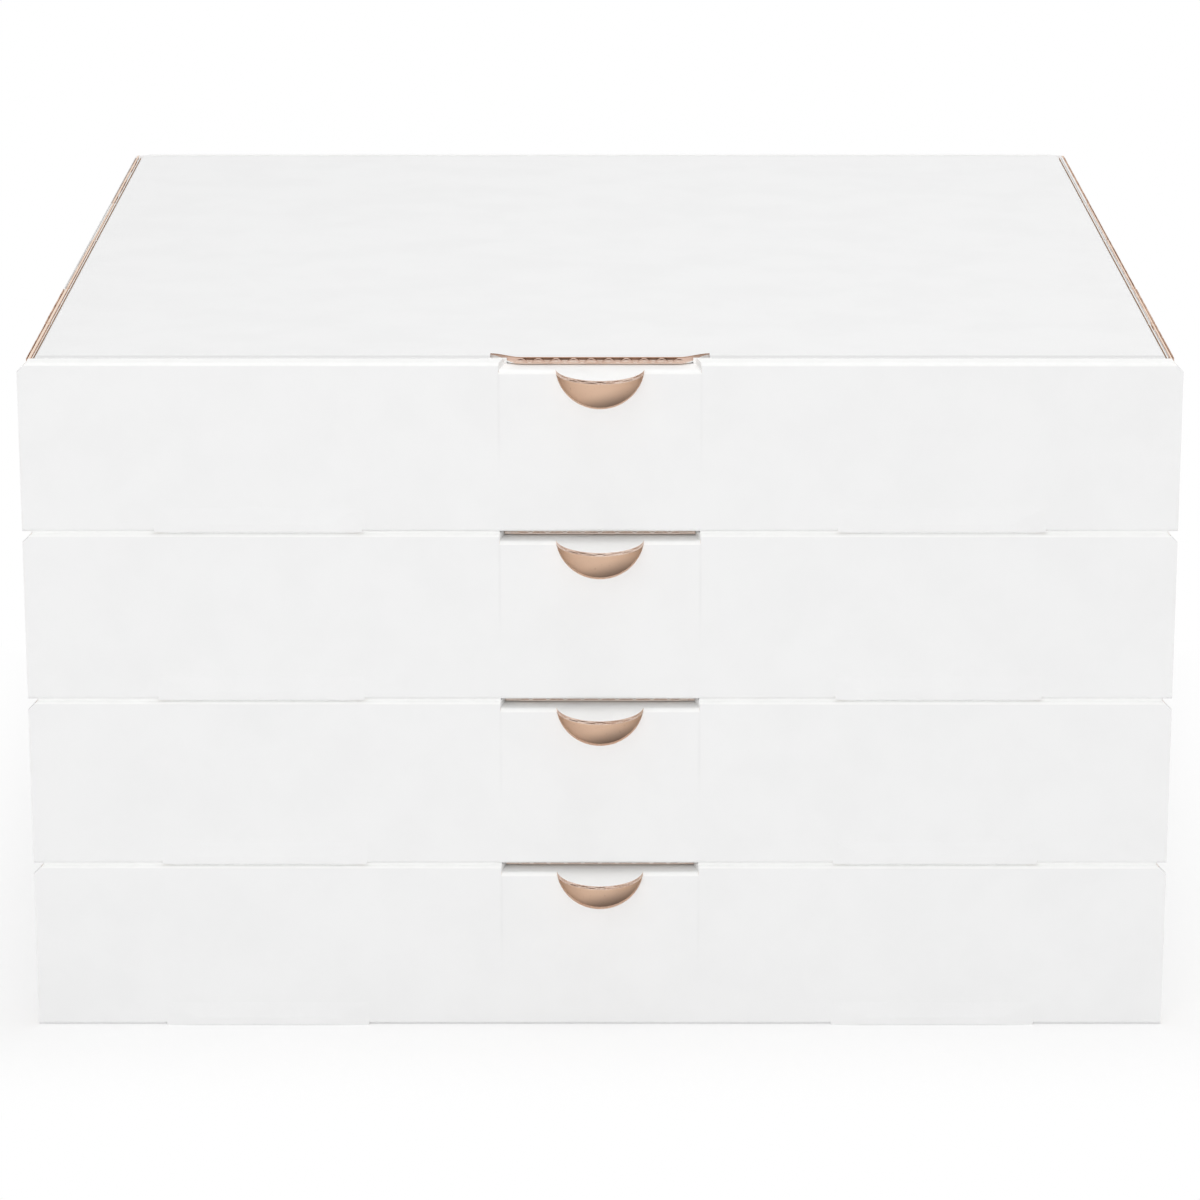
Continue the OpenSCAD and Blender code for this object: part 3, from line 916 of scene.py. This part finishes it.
restingFold = {
    "front": 1.1,            # mm behind the front panel's face, where the folds of two boxes meet
    "back": 2.6,
    "bottom": -0.73,         # mm below the upper box
    "sink": 0.05,            # how much lower the strip's front is
    "sinkBack": 1.5,
    "frontTop": 0.13,        # mm above the upper box's bottom
    "backTop": 0.03,
    "slopeBack": 1.7,
    "outer": 204.4,
    "innerLap": 0.1,
}


def makeRestingFolds(size):
    # the lower fold of a box rests on the rolled wall of the one below
    profile = [
        (size["front"], size["bottom"] - size["sink"]),
        (size["front"], size["frontTop"]),
        (size["slopeBack"], size["backTop"]),
        (size["back"], size["backTop"]),
        (size["back"], size["bottom"]),
        (size["sinkBack"], size["bottom"]),
    ]
    for level in range(1, len(boxNames)):
        raised = [(y, z + level * boxHeight) for y, z in profile]
        for side, left, right in bothSides(sheet["ledgeHalf"] - size["innerLap"], size["outer"]):
            makePrism(f"restingFold{level}_{side}", raised, left, right, "folded", "stack")


lipFill = {
    "half": 30.6,
    "behind": 0.55,          # mm behind the cut edge
    "depth": 1.5,
    "bottom": 0.3,           # mm above the lip's underside
    "top": 1.2,
    "upperBehind": 1.7,      # mm behind the cut edge, above
    "upperTop": 2.2,
    "lean": 0.2,
    "lap": 0.1,              # mm that the upper filling runs down behind the lower one
    "endFrom": 28.8,
    "endTo": 34.5,
    "endBehind": 0.1,        # mm behind the cut edge
    "endBack": 8.7,          # mm behind the front panel's face
    "endBottom": 0.05,
    "endTop": 0.95,
}


def makeLipFills(size):
    # flutes crushed by the cut close the openings of the lip's edge, the lower ones nearer to the front
    half = size["half"]
    front = sheet["lipFront"] + size["behind"]
    upperFront = sheet["lipFront"] + size["upperBehind"]
    endFront = sheet["lipFront"] + size["endBehind"]
    for level in range(len(boxNames)):
        isTop = level == len(boxNames) - 1
        body = "lid" if isTop else "stack"
        base = (level + 1) * boxHeight - sheet["board"]
        low, high = base + size["bottom"], base + size["top"]
        lower = [
            (front, low),
            (front + size["lean"], high),
            (front + size["depth"], high),
            (front + size["depth"], low),
        ]
        makePrism(f"lipFill{level}", lower, -half, half, "rim", body)
        upperBack = upperFront + size["depth"]
        upper = rectangle(upperFront, upperBack, high - size["lap"], base + size["upperTop"])
        makePrism(f"lipDeep{level}", upper, -half, half, "wave", body)
        if isTop:
            continue
        end = rectangle(endFront, size["endBack"], base + size["endBottom"], base + size["endTop"])
        for side, left, right in bothSides(size["endFrom"], size["endTo"]):
            makePrism(f"lipEnd{level}_{side}", end, left, right, "rim", body)


ledgeBacking = {
    "from": 33.4,
    "to": 40.0,
    "front": 8.82,           # mm behind the front panel's face
    "back": 9.08,
    "below": 2.9,            # mm below the top of the box
    "above": 0.75,
}


def makeLedgeBackings(size):
    # the torn liner that stands up behind the ends of the ledge
    for level in range(len(boxNames)):
        top = (level + 1) * boxHeight
        profile = rectangle(size["front"], size["back"], top - size["below"], top - size["above"])
        for side, left, right in bothSides(size["from"], size["to"]):
            makePrism(f"ledgeBacking{level}_{side}", profile, left, right, "folded", "stack")


rearCrease = {
    "half": 198.2,           # mm, half the width of the lid's rear fold
    "reach": 3.2,            # how far the strip runs down the wall and onto the lid
    "radius": 1.5,
    "under": 0.03,           # mm between the strip and the board
    "thick": 0.16,
    "steps": 8,
    "widthSteps": 8,
    "bend": 2.5,             # mm from the corner that the strip bends over
}


def makeRearCrease(size):
    # the outer liner runs on over the crease that the top lid turns on
    radius = size["radius"]
    centreY = 2 * sheet["half"] - radius
    centreZ = len(boxNames) * boxHeight - radius

    def wrapped(offset):
        far = radius + offset
        rounded = [math.pi / 2 * i / size["steps"] for i in range(size["steps"] + 1)]
        arc = [(centreY + far * math.cos(turn), centreZ + far * math.sin(turn)) for turn in rounded]
        first = (centreY + far, centreZ - size["reach"])
        last = (centreY - size["reach"], centreZ + far)
        return [first] + arc + [last]

    profile = wrapped(size["under"]) + wrapped(size["under"] + size["thick"])[::-1]
    widths = [size["half"] * (2 * i / size["widthSteps"] - 1) for i in range(size["widthSteps"] + 1)]
    points = [(x, y, z) for x in widths for y, z in profile]
    count = len(profile)
    faces = []
    for row in range(size["widthSteps"]):
        here, there = row * count, (row + 1) * count
        for i in range(count):
            j = (i + 1) % count
            faces.append((here + i, here + j, there + j, there + i))
    for end in (0, size["widthSteps"] * count):
        for i in range(count // 2 - 1):
            faces.append((end + i, end + i + 1, end + count - 2 - i, end + count - 1 - i))
    piece = makePiece("rearCrease", points, faces, "folded")
    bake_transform(piece)


makeRestingFolds(restingFold)
makeLipFills(lipFill)
makeLedgeBackings(ledgeBacking)
makeRearCrease(rearCrease)
print("small pieces made")


# Floor, backdrop and lights

stageLook = {
    "floorSize": 12.0,
    "floorColour": linearOf(252, 252, 252),
    "floorSpeck": linearOf(250, 250, 250),
    "shadowReach": 0.09,     # m round the stack in which the floor shows its shadow
    "shadowWhite": 0.6,      # share of plain white close to the stack
    "speckScale": 40.0,
    "roughness": 0.9,
    "specular": 0.1,
    "worldStrength": 0.5,
}


def makeFloor(look):
    mesh = bpy.data.meshes.new("floor")
    edge = look["floorSize"] / 2
    corners = [(-edge, -edge, 0), (edge, -edge, 0), (edge, edge, 0), (-edge, edge, 0)]
    mesh.from_pydata(corners, [], [(0, 1, 2, 3)])
    floor = bpy.data.objects.new("floor", mesh)
    bpy.context.scene.collection.objects.link(floor)
    material, tree, shader, place = newMaterial("floorWhite")
    where = place.outputs["Object"]
    specks = noise(tree, where, look["speckScale"])
    colour = mixColour(tree, specks, look["floorColour"], look["floorSpeck"])
    plug(tree, colour, shader.inputs["Base Color"])
    shader.inputs["Roughness"].default_value = look["roughness"]
    shader.inputs["Specular IOR Level"].default_value = look["specular"]
    # seen by the camera, the floor runs out into plain white away from the stack
    glow = tree.nodes.new("ShaderNodeEmission")
    glow.inputs["Color"].default_value = (1, 1, 1, 1)
    seen = tree.nodes.new("ShaderNodeLightPath")
    x, y, z = splitVector(tree, where)
    furthest = calculate(tree, "MAXIMUM", calculate(tree, "ABSOLUTE", x), calculate(tree, "ABSOLUTE", y))
    away = calculate(tree, "SUBTRACT", furthest, sheet["half"] * millimetre)
    share = ramp(tree, away, 0.0, look["shadowReach"], look["shadowWhite"], 1.0)
    blend = tree.nodes.new("ShaderNodeMixShader")
    plug(tree, calculate(tree, "MULTIPLY", share, seen.outputs["Is Camera Ray"]), blend.inputs[0])
    plug(tree, shader.outputs[0], blend.inputs[1])
    plug(tree, glow.outputs[0], blend.inputs[2])
    plug(tree, blend.outputs[0], tree.nodes["Material Output"].inputs["Surface"])
    mesh.materials.append(material)


def makeWorld(look):
    world = bpy.data.worlds.new("studio")
    world.use_nodes = True
    tree = world.node_tree
    seen = tree.nodes.new("ShaderNodeLightPath")
    background = tree.nodes["Background"]
    background.inputs["Color"].default_value = (1, 1, 1, 1)
    backdrop = calculate(tree, "MAXIMUM", seen.outputs["Is Camera Ray"], seen.outputs["Is Glossy Ray"])
    extra = calculate(tree, "MULTIPLY", backdrop, 1 - look["worldStrength"])
    plug(tree, calculate(tree, "ADD", extra, look["worldStrength"]), background.inputs["Strength"])
    bpy.context.scene.world = world


# places, aims and sizes in metres, powers in watts
lights = {
    "frontSoft": {"place": (-0.3, -2.4, 1.5), "aim": (0, 0, 0.12), "size": 2.4, "power": 27.4},
    "topSoft": {"place": (0.3, 0.2, 2.6), "aim": (0, 0, 0.2), "size": 2.2, "power": 21.0},
    "rearSoft": {"place": (0.6, 2.6, 1.0), "aim": (0, 0, 0.15), "size": 2.4, "power": 8.0},
}


def makeLight(name, look):
    light = bpy.data.objects.new(name, bpy.data.lights.new(name, "AREA"))
    light.data.shape = "SQUARE"
    light.data.size = look["size"]
    light.data.energy = look["power"]
    light.location = look["place"]
    towards = Vector(look["aim"]) - Vector(look["place"])
    light.rotation_euler = towards.to_track_quat("-Z", "Y").to_euler()
    bpy.context.scene.collection.objects.link(light)


makeFloor(stageLook)
makeWorld(stageLook)
for name, look in lights.items():
    makeLight(name, look)
bpy.context.scene.view_settings.view_transform = "Standard"
print("stage set")
